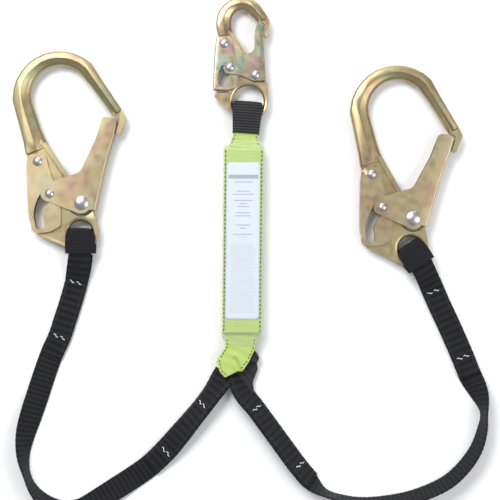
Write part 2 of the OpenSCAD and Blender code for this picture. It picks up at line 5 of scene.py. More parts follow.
import bmesh
import bpy
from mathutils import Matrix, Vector


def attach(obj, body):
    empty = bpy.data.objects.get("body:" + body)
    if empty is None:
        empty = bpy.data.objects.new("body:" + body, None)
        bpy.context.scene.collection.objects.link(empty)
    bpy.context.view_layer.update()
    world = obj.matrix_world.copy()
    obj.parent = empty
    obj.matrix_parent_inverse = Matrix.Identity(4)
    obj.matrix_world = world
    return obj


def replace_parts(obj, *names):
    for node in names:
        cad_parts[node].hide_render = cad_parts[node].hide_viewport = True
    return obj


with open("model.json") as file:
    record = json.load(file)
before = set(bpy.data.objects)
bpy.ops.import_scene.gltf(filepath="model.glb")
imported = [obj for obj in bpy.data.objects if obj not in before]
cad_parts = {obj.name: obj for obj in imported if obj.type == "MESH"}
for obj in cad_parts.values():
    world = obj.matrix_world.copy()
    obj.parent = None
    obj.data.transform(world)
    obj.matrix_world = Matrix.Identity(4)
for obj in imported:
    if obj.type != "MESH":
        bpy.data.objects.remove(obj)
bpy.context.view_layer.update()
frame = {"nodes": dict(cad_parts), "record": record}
random.seed(7)

MM = 0.001
ROOT = "lanyard"

# ---------- sizes shared with the CAD, in millimetres ----------

WEB_W = 25.4        # width of the black webbing
WEB_T = 2.4         # its thickness
PAD_T = 1.5         # thickness of the wear pads and the sleeve
MID_Z = 10.8        # height of the hooks' middle plane
BODY_HALF = 4       # half thickness of a hook body
LOOP_GAP = 0.4      # gap between a hook body and the webbing round its eye
LAYER_GAP = 0.1     # gap between that webbing and the pad over it
LOOP_IN = BODY_HALF + LOOP_GAP
PAD_IN = LOOP_IN + WEB_T + LAYER_GAP

# Each hook's gate pivot and turn, its eye from there, and the turn of its strap
HOOKS = {
    "left": {"place": (-173, -9, 0), "eye": (-1.4, -32.8), "strap": 0},
    "right": {"place": (195, -26, -3.3), "eye": (-1.4, -32.8), "strap": 33.7},
    "snap": {"place": (20, 133, 0), "eye": (-8.2, -29), "strap": -4},
}
PACK_MID = (6, -51, -0.6)   # the pack's middle and its turn in degrees
PACK_W, PACK_L, PACK_T = 43.4, 207, 20.4
FILM_T = 0.6
FILM_GAP = 0.5
PACK_Z = FILM_T + FILM_GAP
PACK_TOP = PACK_Z + PACK_T

# Pitches of the ribs across the webbing
RIB = 5.3
SEWN_RIB = 7.5
FINE_RIB = 1.6
SLEEVE_RIB = 3.0

# ---------- camera: straight down, over the middle of what the picture covers ----------

VIEW_MID = (14, -61)
VIEW_WIDTH = 560        # millimetres of floor across the picture
CAMERA_HEIGHT = 1.6     # metres
SENSOR = 36             # millimetres

camera_data = bpy.data.cameras.new("camera")
camera_data.sensor_width = SENSOR
camera_data.lens = SENSOR * CAMERA_HEIGHT / (VIEW_WIDTH * MM)
camera = bpy.data.objects.new("camera", camera_data)
camera.location = (VIEW_MID[0] * MM, VIEW_MID[1] * MM, CAMERA_HEIGHT)
bpy.context.collection.objects.link(camera)
bpy.context.scene.camera = camera


# ---------- small vector helpers ----------

def turn(p, degrees):
    """A flat point turned about the origin."""
    a = math.radians(degrees)
    return (p[0] * math.cos(a) - p[1] * math.sin(a), p[0] * math.sin(a) + p[1] * math.cos(a))


def smooth(values, t):
    """Catmull-Rom through a list of tuples, at a place t counted in list steps."""
    i = min(int(t), len(values) - 2)
    f = t - i
    p0, p1 = values[max(i - 1, 0)], values[i]
    p2, p3 = values[i + 1], values[min(i + 2, len(values) - 1)]
    return tuple(
        0.5 * (2 * b + (c - a) * f + (2 * a - 5 * b + 4 * c - d) * f * f
               + (3 * b - a - 3 * c + d) * f ** 3)
        for a, b, c, d in zip(p0, p1, p2, p3)
    )


def resample(stations, step):
    """Stations (centre, across, width) spread evenly along their line, each with its
    distance from the start."""
    lengths = [0.0]
    for a, b in zip(stations, stations[1:]):
        lengths.append(lengths[-1] + (b[0] - a[0]).length)
    count = max(2, round(lengths[-1] / step))
    out, j = [], 0
    for n in range(count + 1):
        want = lengths[-1] * n / count
        while j < len(stations) - 2 and lengths[j + 1] < want:
            j += 1
        f = (want - lengths[j]) / max(lengths[j + 1] - lengths[j], 1e-9)
        a, b = stations[j], stations[j + 1]
        out.append((a[0].lerp(b[0], f), a[1].lerp(b[1], f).normalized(),
                    a[2] + (b[2] - a[2]) * f, want))
    return out


# ---------- mesh helpers ----------

def new_object(name, verts, faces, material, body):
    """A smooth-shaded mesh that rides on a body."""
    mesh = bpy.data.meshes.new(name)
    mesh.from_pydata([tuple(v) for v in verts], [], faces)
    mesh.validate()
    mesh.polygons.foreach_set("use_smooth", [True] * len(mesh.polygons))
    obj = bpy.data.objects.new(name, mesh)
    bpy.context.collection.objects.link(obj)
    mesh.materials.append(material)
    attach(obj, body)
    return obj


BAND_COLUMNS = 12       # faces across each side of a band
RIM = 0.14              # share of the half width that rounds off at each edge
RIM_DROP = 0.75
EDGE_WAVE = 0.12        # how far the edges draw in between ribs
BAND_SHARP = 62         # degrees at which a band's shading breaks


def band(name, stations, material, body, thick=WEB_T, rib=RIB, depth=0.28,
         step=0.75, edge_bow=0.0):
    """A woven strap swept along stations (centre, across, width) in mm, with transverse ribs
    pressed in its faces. Its UV map holds millimetres: across in x and along in y."""
    rings = resample(stations, step)
    half_t = thick / 2
    verts, coords, faces = [], [], []
    for i, (c, across, width, s) in enumerate(rings):
        before, after = rings[max(i - 1, 0)][0], rings[min(i + 1, len(rings) - 1)][0]
        along = (after - before).normalized()
        up = along.cross(across).normalized() * -1
        between_ribs = 0.5 - 0.5 * math.sin(2 * math.pi * s / rib)
        dip = depth * between_ribs ** 2
        w = width / 2 - EDGE_WAVE * between_ribs
        top = []
        for k in range(BAND_COLUMNS + 1):
            x = -1 + 2 * k / BAND_COLUMNS
            rim = max(0.0, (abs(x) - (1 - RIM)) / RIM)
            top.append((x * w, (half_t - dip) * math.sqrt(max(0.0, 1 - RIM_DROP * rim ** 2))
                        - edge_bow * x * x))
        low = [(x, -z - 2 * edge_bow * (x / w) ** 2) for x, z in reversed(top)]
        for x, z in top + low:
            verts.append((c + across * x + up * z) * MM)
            coords.append((x, s))
    n = 2 * (BAND_COLUMNS + 1)
    for i in range(len(rings) - 1):
        for k in range(n):
            a, b = i * n + k, i * n + (k + 1) % n
            faces.append((a, b, b + n, a + n))
    faces.append(tuple(reversed(range(n))))
    last = (len(rings) - 1) * n
    faces.append(tuple(last + k for k in range(n)))
    obj = new_object(name, verts, faces, material, body)
    uv = obj.data.uv_layers.new(name="strap_mm")
    for loop in obj.data.loops:
        uv.data[loop.index].uv = coords[loop.vertex_index]
    bm = bmesh.new()
    bm.from_mesh(obj.data)
    bmesh.ops.recalc_face_normals(bm, faces=bm.faces)
    bm.to_mesh(obj.data)
    bm.free()
    obj.data.set_sharp_from_angle(angle=math.radians(BAND_SHARP))
    return obj


# ---------- materials ----------

class Shader:
    """A Principled material, with short ways to add nodes that feed it."""

    def __init__(self, name, **sockets):
        self.material = bpy.data.materials.new(name)
        self.material.use_nodes = True
        self.tree = self.material.node_tree
        self.principled = self.tree.nodes["Principled BSDF"]
        for key, value in sockets.items():
            self.principled.inputs[key.replace("_", " ")].default_value = value

    def node(self, kind, **settings):
        """A new node with its settings."""
        made = self.tree.nodes.new(kind)
        for key, value in settings.items():
            setattr(made, key, value)
        return made

    def join(self, source, target):
        """Links an output socket to an input socket."""
        self.tree.links.new(source, target)

    def into(self, socket, value):
        """Sets a socket to a number, or joins another socket to it."""
        if isinstance(value, (int, float)):
            socket.default_value = value
        else:
            self.join(value, socket)

    def math(self, operation, a, b=0.0, clamp=False):
        """A Math node's output for two numbers or sockets."""
        made = self.node("ShaderNodeMath", operation=operation, use_clamp=clamp)
        self.into(made.inputs[0], a)
        self.into(made.inputs[1], b)
        return made.outputs[0]

    def wave(self, value, pitch, shift=0.0):
        """A sine from 0 to 1 with that pitch, in the value's own units."""
        angle = self.math("MULTIPLY", value, 2 * math.pi / pitch)
        return self.math("MULTIPLY", self.math("ADD", self.math(
            "SINE", self.math("ADD", angle, shift)), 1.0), 0.5)

    def object_mm(self):
        """The piece's own coordinates in millimetres: x, y, z sockets and the vector."""
        coords = self.node("ShaderNodeTexCoord").outputs["Object"]
        scale = self.node("ShaderNodeVectorMath", operation="SCALE")
        scale.inputs["Scale"].default_value = 1000
        self.join(coords, scale.inputs[0])
        parts = self.node("ShaderNodeSeparateXYZ")
        self.join(scale.outputs[0], parts.inputs[0])
        return parts.outputs, scale.outputs[0]

    def strap_mm(self):
        """A band's own coordinates in millimetres: across and along sockets."""
        parts = self.node("ShaderNodeSeparateXYZ")
        self.join(self.node("ShaderNodeUVMap", uv_map="strap_mm").outputs[0], parts.inputs[0])
        return parts.outputs[0], parts.outputs[1]

    def noise(self, vector, scale, detail=3.0, rough=0.55, stretch=None):
        """Fractal noise at that many waves a millimetre."""
        if stretch:
            mapping = self.node("ShaderNodeMapping")
            mapping.inputs["Scale"].default_value = stretch
            self.join(vector, mapping.inputs[0])
            vector = mapping.outputs[0]
        made = self.node("ShaderNodeTexNoise")
        made.inputs["Scale"].default_value = scale
        made.inputs["Detail"].default_value = detail
        made.inputs["Roughness"].default_value = rough
        self.join(vector, made.inputs["Vector"])
        return made.outputs[0]

    def ramp(self, value, stops):
        """A colour from stops of (place, colour) by a 0 to 1 value."""
        made = self.node("ShaderNodeValToRGB")
        while len(made.color_ramp.elements) < len(stops):
            made.color_ramp.elements.new(0.5)
        for element, (place, colour) in zip(made.color_ramp.elements, stops):
            element.position = place
            element.color = (*colour, 1)
        self.join(value, made.inputs[0])
        return made.outputs[0]

    def mix(self, share, a, b):
        """A colour between two, each a tuple or a socket."""
        made = self.node("ShaderNodeMix", data_type="RGBA")
        self.into(made.inputs[0], share)
        for socket, value in ((made.inputs[6], a), (made.inputs[7], b)):
            if isinstance(value, tuple):
                socket.default_value = (*value, 1)
            else:
                self.join(value, socket)
        return made.outputs[2]

    def bump(self, height, strength, distance):
        """Surface relief from a height socket, distance in metres."""
        made = self.node("ShaderNodeBump")
        made.inputs["Strength"].default_value = strength
        made.inputs["Distance"].default_value = distance
        self.join(height, made.inputs["Height"])
        self.join(made.outputs[0], self.principled.inputs["Normal"])

    def colour(self, value):
        """Feeds the base colour."""
        self.into(self.principled.inputs["Base Color"], value)

    def spread(self, socket, value, low, high):
        """Feeds a socket with a 0 to 1 value, stretched to low and high."""
        self.join(self.math("ADD", self.math("MULTIPLY", value, high - low), low),
                  self.principled.inputs[socket])


PICK_PITCH = 0.66       # pitch of the fine threads across a strap


def woven(name, dark, light, yarn=1.15, rib=RIB):
    """Webbing: ribs across the strap, yarns along it, with a few dusty patches."""
    shader = Shader(name, Roughness=0.75, Sheen_Weight=0.05, Sheen_Roughness=0.5,
                    Specular_IOR_Level=0.2)
    across, along = shader.strap_mm()
    _, place = shader.object_mm()
    skew = shader.math("MULTIPLY", shader.wave(along, rib / 2), 0.5 * yarn)
    yarns = shader.wave(shader.math("ADD", across, skew), yarn)
    rows = shader.wave(along, rib, math.pi)
    picks = shader.wave(along, PICK_PITCH)
    fibres = shader.noise(place, 2.4, 4)
    dust = shader.noise(place, 0.05, 3)
    height = shader.math("ADD", shader.math("MULTIPLY", yarns, 0.5), shader.math(
        "ADD", shader.math("MULTIPLY", picks, 0.25), shader.math("MULTIPLY", fibres, 0.5)))
    shader.bump(height, 0.7, 0.00035)
    tone = shader.math("ADD", shader.math("MULTIPLY", rows, 0.55), shader.math(
        "ADD", shader.math("MULTIPLY", yarns, 0.15), shader.math("MULTIPLY", dust, 0.36)))
    shader.colour(shader.ramp(tone, [(0.12, dark), (0.95, light)]))
    return shader.material


def plated(name, stops, roughness, mottling=0.035):
    """Yellow zinc plate on steel: a satin metal whose tint drifts from patch to patch."""
    shader = Shader(name, Metallic=1.0, Roughness=roughness)
    _, place = shader.object_mm()
    drift = shader.noise(place, mottling, 1.2, 0.45)
    grain = shader.noise(place, 3.2, 4)
    cloud = shader.noise(place, 0.13, 1.2, 0.4)
    mixed = shader.math("ADD", shader.math("MULTIPLY", drift, 0.82),
                        shader.math("MULTIPLY", cloud, 0.18))
    shader.colour(shader.ramp(mixed, stops))
    shader.spread("Roughness", cloud, roughness - 0.08, roughness + 0.14)
    shader.bump(grain, 0.25, 0.00012)
    return shader.material


def bare_steel(name, tint, roughness):
    """Lightly scuffed steel without plating."""
    shader = Shader(name, Metallic=1.0, Base_Color=(*tint, 1))
    _, place = shader.object_mm()
    scuffs = shader.noise(place, 0.9, 4)
    shader.spread("Roughness", scuffs, roughness - 0.07, roughness + 0.1)
    shader.bump(scuffs, 0.15, 0.00008)
    return shader.material


def thread(name, dark, light):
    """Sewing thread: matt, with its twist as a fine mottle."""
    shader = Shader(name, Roughness=0.7, Sheen_Weight=0.2)
    _, place = shader.object_mm()
    twist = shader.noise(place, 3.0, 3)
    shader.colour(shader.ramp(twist, [(0.3, dark), (0.7, light)]))
    shader.bump(twist, 0.5, 0.0002)
    return shader.material


def clear_film():
    """Thin clear film, seen mostly by its gloss and its fine wrinkles."""
    shader = Shader("clear_film", Base_Color=(0.93, 0.97, 0.93, 1), Roughness=0.08,
                    Specular_IOR_Level=0.6)
    _, place = shader.object_mm()
    folds = shader.noise(place, 0.06, 4, 0.6, (0.35, 3.0, 1.0))
    shader.bump(folds, 0.8, 0.0012)
    rim = shader.node("ShaderNodeLayerWeight")
    rim.inputs[0].default_value = 0.35
    shader.spread("Alpha", rim.outputs["Facing"], 0.05, 0.3)
    return shader.material


# Where the label's bar, short rules and long rules lie, from the pack's middle upwards
BAR_AT, BAR_HALF, BAR_REACH = 71, 2.2, 16.5
HEADS_TOP, HEADS_END = 66, 4
TEXT_TOP, TEXT_END = -2, -80


def printed_label():
    """Pale film with faint grey rules of uneven length, in paragraphs, and no lettering."""
    shader = Shader("label", Roughness=0.42, Specular_IOR_Level=0.4)
    (x, y, _), place = shader.object_mm()
    lean = math.tan(math.radians(-PACK_MID[2]))
    v = shader.math("SUBTRACT", y, PACK_MID[1])
    u = shader.math("ABSOLUTE", shader.math("SUBTRACT", shader.math(
        "SUBTRACT", x, PACK_MID[0]), shader.math("MULTIPLY", v, lean)))
    faded = shader.noise(place, 0.3, 3)

    def within(value, limit):
        """1 where the value is under the limit, otherwise 0."""
        return shader.math("LESS_THAN", value, limit)

    def beyond(value, limit):
        """1 where the value is over the limit, otherwise 0."""
        return shader.math("GREATER_THAN", value, limit)

    def both(a, b):
        """The product: 1 only where both are 1, or one of them scaled by the other."""
        return shader.math("MULTIPLY", a, b)

    def rules(pitch, share, short, spread):
        """Printed rules every pitch mm, share of it thick, reaching short to short + spread
        either side of the middle. Also gives each row's number."""
        place_in_row = shader.math("DIVIDE", v, pitch)
        row = shader.math("FLOOR", place_in_row)
        inked = within(shader.math("FRACT", place_in_row), share)
        dice = shader.node("ShaderNodeTexWhiteNoise", noise_dimensions="1D")
        shader.join(row, dice.inputs["W"])
        reach = shader.math("ADD", both(dice.outputs[0], spread), short)
        return both(inked, within(u, reach)), row

    heads, head_row = rules(pitch=3.4, share=0.32, short=3, spread=9)
    heads = both(heads, beyond(shader.wave(head_row, 3.7), 0.35))
    heads = both(both(heads, beyond(v, HEADS_END)), within(v, HEADS_TOP))
    text, _ = rules(pitch=1.9, share=0.42, short=12, spread=4)
    text = both(both(text, both(within(v, TEXT_TOP), beyond(v, TEXT_END))), faded)
    from_bar = shader.math("ABSOLUTE", shader.math("SUBTRACT", v, BAR_AT))
    bar = both(within(from_bar, BAR_HALF), within(u, BAR_REACH))
    ink = shader.math("ADD", both(bar, 0.8), shader.math(
        "ADD", both(heads, 0.75), both(text, 0.5)), clamp=True)
    shader.colour(shader.mix(ink, (0.62, 0.66, 0.72), (0.26, 0.28, 0.32)))
    shader.bump(shader.noise(place, 0.12, 3), 0.2, 0.0006)
    return shader.material


# Darkest and lightest tone of each webbing
BLACK = (0.003, 0.003, 0.004), (0.018, 0.018, 0.022)
LIME = (0.33, 0.44, 0.09), (0.56, 0.70, 0.21)

BLACK_WEB = woven("black_webbing", *BLACK)
SEWN_WEB = woven("black_webbing_sewn", *BLACK, rib=SEWN_RIB)
PAD_WEB = woven("black_pad", (0.003, 0.003, 0.004), (0.020, 0.020, 0.024), yarn=1.6,
                rib=FINE_RIB)
SLEEVE_WEB = woven("black_sleeve", (0.002, 0.002, 0.003), (0.050, 0.050, 0.056), yarn=1.6,
                   rib=SLEEVE_RIB)
LIME_WEB = woven("lime_webbing", *LIME, yarn=1.3, rib=FINE_RIB)
WHITE_THREAD = thread("white_thread", (0.55, 0.55, 0.52), (0.90, 0.90, 0.86))
BLACK_THREAD = thread("black_thread", (0.010, 0.010, 0.010), (0.045, 0.045, 0.045))
FILM = clear_film()
LABEL = printed_label()
FORM_PLATE = plated("scaffold_hook_plating", [
    (0.28, (0.37, 0.26, 0.17)), (0.42, (0.40, 0.31, 0.17)), (0.55, (0.42, 0.35, 0.20)),
    (0.68, (0.34, 0.35, 0.20))], 0.36)
FORM_SHEET = plated("scaffold_sheet_plating", [
    (0.28, (0.42, 0.29, 0.20)), (0.45, (0.46, 0.37, 0.22)), (0.60, (0.48, 0.41, 0.26)),
    (0.72, (0.34, 0.40, 0.28))], 0.34)
SNAP_PLATE = plated("snap_hook_plating", [
    (0.30, (0.44, 0.28, 0.22)), (0.45, (0.47, 0.36, 0.21)), (0.60, (0.49, 0.41, 0.24)),
    (0.72, (0.36, 0.40, 0.30))], 0.30, 0.04)
SNAP_SHEET = plated("snap_sheet_plating", [
    (0.30, (0.48, 0.30, 0.34)), (0.42, (0.48, 0.39, 0.27)), (0.54, (0.44, 0.44, 0.30)),
    (0.68, (0.31, 0.42, 0.42))], 0.26, 0.045)
RIVET = bare_steel("rivet_steel", (0.50, 0.47, 0.48), 0.32)
SPRING = bare_steel("spring_steel", (0.30, 0.29, 0.28), 0.4)


# ---------- legs: the two free cords ----------

# Each leg's middle from its hook to the pack: x, y, tilt in degrees, and lift off the floor
ROUTES = {
    "left": [
        (-174, -65, 0, 4), (-176, -80, 0, 2), (-180, -97, 0, 0.6), (-185, -115, 0, 0),
        (-192, -137, 0, 0), (-199, -158, 0, 0), (-208, -178, 0, 0), (-216, -200, 0, 0),
        (-223, -222, -8, 0), (-230, -244, -20, 0), (-236, -267, -42, 0), (-238, -290, -66, 0),
        (-234, -311, -82, 0), (-226, -328, -76, 0), (-212, -342, -62, 0), (-195, -350, -48, 0),
        (-176, -350, -32, 0), (-159, -342, -18, 0), (-138, -329, -8, 0), (-116, -315, 0, 0),
        (-98, -302, 0, 0), (-80, -285, -12, 0), (-65, -268, -26, 0), (-50, -250, -38, 0),
        (-37, -234, -42, 0), (-26, -219, -38, 0), (-19, -208, -24, 0), (-13, -198, -10, 0)],
    "right": [
        (205, -77, 0, 4), (212, -91, 0, 2), (219, -107, 0, 0.6), (226, -123, 0, 0),
        (234, -140, 0, 0), (243, -160, 0, 0), (252, -181, 0, 0), (260, -201, 12, 0),
        (269, -221, 44, 0), (274, -242, 80, 0), (272, -262, 74, 0), (265, -283, 68, 0),
        (252, -302, 65, 0), (235, -318, 64, 0), (214, -329, 64, 0), (190, -337, 65, 0),
        (165, -341, 68, 0), (140, -342, 72, 0), (118, -338, 78, 0), (98, -331, 78, 0),
        (82, -319, 48, 0), (67, -302, 43, 0), (50, -279, 43, 0), (34, -257, 43, 0),
        (20, -238, 43, 0), (8, -223, 38, 0), (3, -211, 24, 0), (1, -199, 10, 0)],
}
# Route points between which each leg is sewn back on itself, at the hook and at the pack
SEWN = {"left": {"hook": (2, 6), "pack": (20, 27)}, "right": {"hook": (2, 7), "pack": (20, 27)}}


def leg_stations(route, first, last, lift=0.0, fine=8):
    """Stations along a leg, from one route index to another, shifted off its middle by lift."""
    near = 0.05
    out = []
    for n in range((last - first) * fine + 1):
        t = first + n / fine
        x, y, tilt, extra = smooth(route, t)
        ahead = smooth(route, min(t + near, len(route) - 1))
        behind = smooth(route, max(t - near, 0))
        along = Vector((ahead[0] - behind[0], ahead[1] - behind[1], 0)).normalized()
        side = Vector((-along.y, along.x, 0))
        a = math.radians(tilt)
        across = side * math.cos(a) + Vector((0, 0, math.sin(a)))
        up = side * -math.sin(a) + Vector((0, 0, math.cos(a)))
        z = WEB_W / 2 * abs(math.sin(a)) + WEB_T / 2 * math.cos(a) + extra
        out.append((Vector((x, y, z)) + up * lift, across, WEB_W))
    return out


sewn_on = {}    # what is sewn on each leg and lies with it
for side, route in ROUTES.items():
    run = leg_stations(route, 0, len(route) - 1)
    leg = band(f"{side}_leg", run, BLACK_WEB, ROOT)
    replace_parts(leg, f"{side}_leg_webbing")


# ---------- webbing round the hooks' eyes ----------

EYE_BEND = 3.4          # radius of the strap's bend inside the eye


def eye_place(hook, point):
    """A point given from a hook's eye, with its strap towards -Y, in the lanyard's frame."""
    spec = HOOKS[hook]
    x, y = turn((point[0], point[1]), spec["strap"])
    ex, ey = turn(spec["eye"], spec["place"][2])
    return Vector((spec["place"][0] + ex + x, spec["place"][1] + ey + y, MID_Z + point[2]))


def eye_fold(hook, fold_y, end_y, low, thick, widths):
    """Stations of a strap from its lower end, up through the eye and back over the top.
    widths maps the distance below the fold to the strap's width there."""
    h = low + thick / 2
    r = min(EYE_BEND, h)
    front = fold_y - thick / 2
    line = [(end_y + (front - r - end_y) * n / 10, -h) for n in range(10)]
    line += [(front - r + r * math.sin(a), -h + r - r * math.cos(a))
             for a in (math.radians(9 * n) for n in range(11))]
    line += [(y, -z) for y, z in reversed(line)]
    across = Vector((*turn((-1, 0), HOOKS[hook]["strap"]), 0))
    out = []
    for y, z in line:
        gap = fold_y - y
        width = next((w0 + (w1 - w0) * (gap - g0) / (g1 - g0)
                      for (g0, w0), (g1, w1) in zip(widths, widths[1:]) if g0 <= gap <= g1),
                     widths[-1][1])
        out.append((eye_place(hook, (0, y, z)), across, width))
    return out


FORM_LOOP = dict(fold_y=3.8, end_y=-23.2, low=LOOP_IN, thick=WEB_T,
                 widths=[(0, 22), (2, 22.5), (7, 25.4), (40, 25.4)])
FORM_PAD = dict(fold_y=5.4, end_y=-23, low=PAD_IN, thick=PAD_T,
                widths=[(0, 24), (2, 25), (8, 32.6), (20, 33.6), (30, 32.4)])

SEWN_DEPTH = 0.36       # depth of the ribs where two layers are sewn together

for side, route in ROUTES.items():
    sewn = SEWN[side]
    fold = eye_fold(side, **FORM_LOOP)
    over = leg_stations(route, *sewn["hook"], WEB_T)
    top = [(c, -across, w) for c, across, w in over]
    joined = fold + [(fold[-1][0].lerp(top[0][0], f) + Vector((0, 0, bow)),
                      fold[-1][1].lerp(top[0][1], f).normalized(), WEB_W)
                     for f, bow in ((0.25, 0.8), (0.5, 0.9), (0.75, 0.4))] + top
    loop = band(f"{side}_loop_and_tail", joined, SEWN_WEB, ROOT,
                rib=SEWN_RIB, depth=SEWN_DEPTH)
    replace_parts(loop, f"{side}_hook_loop", f"{side}_sewn_layers")
    tail = band(f"{side}_pack_tail", leg_stations(route, *sewn["pack"], WEB_T),
                SEWN_WEB, ROOT, rib=SEWN_RIB, depth=SEWN_DEPTH)
    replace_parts(tail, f"{side}_sewn_layers")
    pad = band(f"{side}_pad", eye_fold(side, **FORM_PAD), PAD_WEB, ROOT,
               thick=PAD_T, rib=FINE_RIB, depth=0.3, step=0.25, edge_bow=0.5)
    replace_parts(pad, f"{side}_wear_pad")
    sewn_on[side] = [tail]


# ---------- thread ----------

def thread_run(points, radius):
    """Verts and faces of a thin thread through points in mm, narrower at its closed ends."""
    sides = 6
    end_share = 0.55
    verts, faces = [], []
    for i, p in enumerate(points):
        a, b = points[max(i - 1, 0)], points[min(i + 1, len(points) - 1)]
        along = (b - a).normalized()
        side = along.cross(Vector((0, 0, 1)))
        side = side.normalized() if side.length > 1e-6 else Vector((1, 0, 0))
        up = side.cross(along)
        size = radius * (end_share if i in (0, len(points) - 1) else 1)
        for k in range(sides):
            angle = 2 * math.pi * k / sides
            verts.append((p + side * math.cos(angle) * size + up * math.sin(angle) * size) * MM)
    for i in range(len(points) - 1):
        for k in range(sides):
            a, b = i * sides + k, i * sides + (k + 1) % sides
            faces.append((a, b, b + sides, a + sides))
    faces.append(tuple(reversed(range(sides))))
    last = (len(points) - 1) * sides
    faces.append(tuple(last + k for k in range(sides)))
    return verts, faces


def thread_object(name, runs, radius, material):
    """One object from many runs of thread."""
    verts, faces = [], []
    for points in runs:
        v, f = thread_run(points, radius)
        faces += [tuple(i + len(verts) for i in face) for face in f]
        verts += v
    return new_object(name, verts, faces, material, ROOT)


def on_band(station, along, x, y, up_by):
    """A point over a strap: x across and y along from a station, up_by above its middle."""
    centre, across, _ = station
    up = along.cross(across).normalized()
    if up.z < 0:
        up = -up
    return centre + across * x + along * y + up * up_by


def bar_tack(station, along, x, lift):
    """One loose, wavy stroke of thread slanting across the strap."""
    length, slant, bends, steps = 6.5, 0.5, 1.6, 8
    wave = random.uniform(0.5, 0.9)
    run = []
    for n in range(steps + 1):
        t = length * (n / steps - 0.5)
        run.append(on_band(station, along, x + t, slant * t + wave * math.sin(t * bends), lift))
    return run


def zigzag_seam(stations, edge, lift):
    """A line of short slanted stitches along a strap, edge away from its middle."""
    half_w, rise = 0.8, 0.1
    runs = []
    for a, b in zip(stations[:-3:2], stations[1::2]):
        along = (b[0] - a[0]).normalized()
        runs.append([on_band(a, along, edge - half_w, 0, lift),
                     on_band(b, along, edge + half_w, 0, lift + rise)])
    return runs


# Heights of the threads over the middle of the lower of two sewn layers
TACK_LIFT = WEB_T * 1.5 + 0.12
SEAM_LIFT = TACK_LIFT - 0.15
SEAM_AT = 9.6           # from the strap's middle to a seam
TACK_R = 0.45
SEAM_R = 0.3
for side, route in ROUTES.items():
    tack_runs, end_runs, seam_runs = [], [], []
    hook_span, pack_span = SEWN[side]["hook"], SEWN[side]["pack"]
    for index, runs, places in ((hook_span[0], tack_runs, (-5, 3)),
                                (hook_span[1] - 1, tack_runs, (-4, 4)),
                                (pack_span[0] + 1, end_runs, (-5, 2)),
                                (pack_span[1] - 3, end_runs, (-3, 4))):
        a, b = leg_stations(route, index, index + 1, fine=2)[:2]
        along = (b[0] - a[0]).normalized()
        runs += [bar_tack(a, along, x, TACK_LIFT) for x in places]
    for span in (hook_span, pack_span):
        seam = leg_stations(route, *span, fine=26)
        for edge in (-SEAM_AT, SEAM_AT):
            seam_runs += zigzag_seam(seam, edge, SEAM_LIFT)
    tacks = thread_object(f"{side}_thread", tack_runs, TACK_R, WHITE_THREAD)
    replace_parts(tacks, f"{side}_bar_tacks")
    end_tacks = thread_object(f"{side}_pack_thread", end_runs, TACK_R, WHITE_THREAD)
    seams = thread_object(f"{side}_seams", seam_runs, SEAM_R, BLACK_THREAD)
    sewn_on[side] += [tacks, seams, end_tacks]


# ---------- snap hook's lime loop and its black wear sleeve ----------

upper = band("upper_lime_loop", eye_fold(
    "snap", fold_y=-1.4, end_y=-51.4, low=LOOP_IN, thick=WEB_T,
    widths=[(0, 24), (4, 26), (36, 26.5), (50, 35.5)]), LIME_WEB, ROOT,
    rib=FINE_RIB, depth=0.08, step=0.4, edge_bow=0.3)
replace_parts(upper, "upper_loop")
sleeve = band("snap_sleeve", eye_fold(
    "snap", fold_y=0.3, end_y=-36, low=PAD_IN, thick=PAD_T,
    widths=[(0, 31), (3, 33), (7, 33.8), (20, 31.5), (36, 29.4)]), SLEEVE_WEB, ROOT,
    thick=PAD_T, rib=SLEEVE_RIB, depth=0.4, step=0.4, edge_bow=0.6)
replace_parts(sleeve, "snap_wear_sleeve")


# ---------- shock pack ----------

def pack_point(x, y, z):
    """A point given from the pack's middle, along its own length, in the lanyard's frame."""
    px, py = turn((x, y), PACK_MID[2])
    return Vector((PACK_MID[0] + px, PACK_MID[1] + py, z))


PACK_LAYERS = 6
LAYER_PITCH = PACK_T / PACK_LAYERS
LAYER_SPACE = 0.25      # between two layers
PACK_END_SPACE = 0.8    # between the folds and the pack's ends


def folded_pack():
    """One long strap folded to and fro on itself: the stations of its middle."""
    r = LAYER_PITCH / 2
    reach = PACK_L / 2 - r - PACK_END_SPACE
    straight_steps, bend_steps = 30, 8
    across = Vector((*turn((1, 0), PACK_MID[2]), 0))
    out = []
    for n in range(PACK_LAYERS):
        z = PACK_Z + LAYER_PITCH * (n + 0.5)
        way = 1 if n % 2 == 0 else -1
        for k in range(straight_steps + 1):
            y = way * reach * (-1 + 2 * k / straight_steps)
            out.append((pack_point(0, y, z), across, PACK_W))
        if n < PACK_LAYERS - 1:
            for k in range(1, bend_steps):
                a = math.pi * k / bend_steps
                out.append((pack_point(0, way * (reach + r * math.sin(a)),
                                       z + r - r * math.cos(a)), across, PACK_W))
    return out


pack = band("folded_tear_webbing", folded_pack(), LIME_WEB, ROOT,
            thick=LAYER_PITCH - LAYER_SPACE, rib=FINE_RIB, depth=0.1, step=0.8)
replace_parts(pack, "tear_webbing_pack")

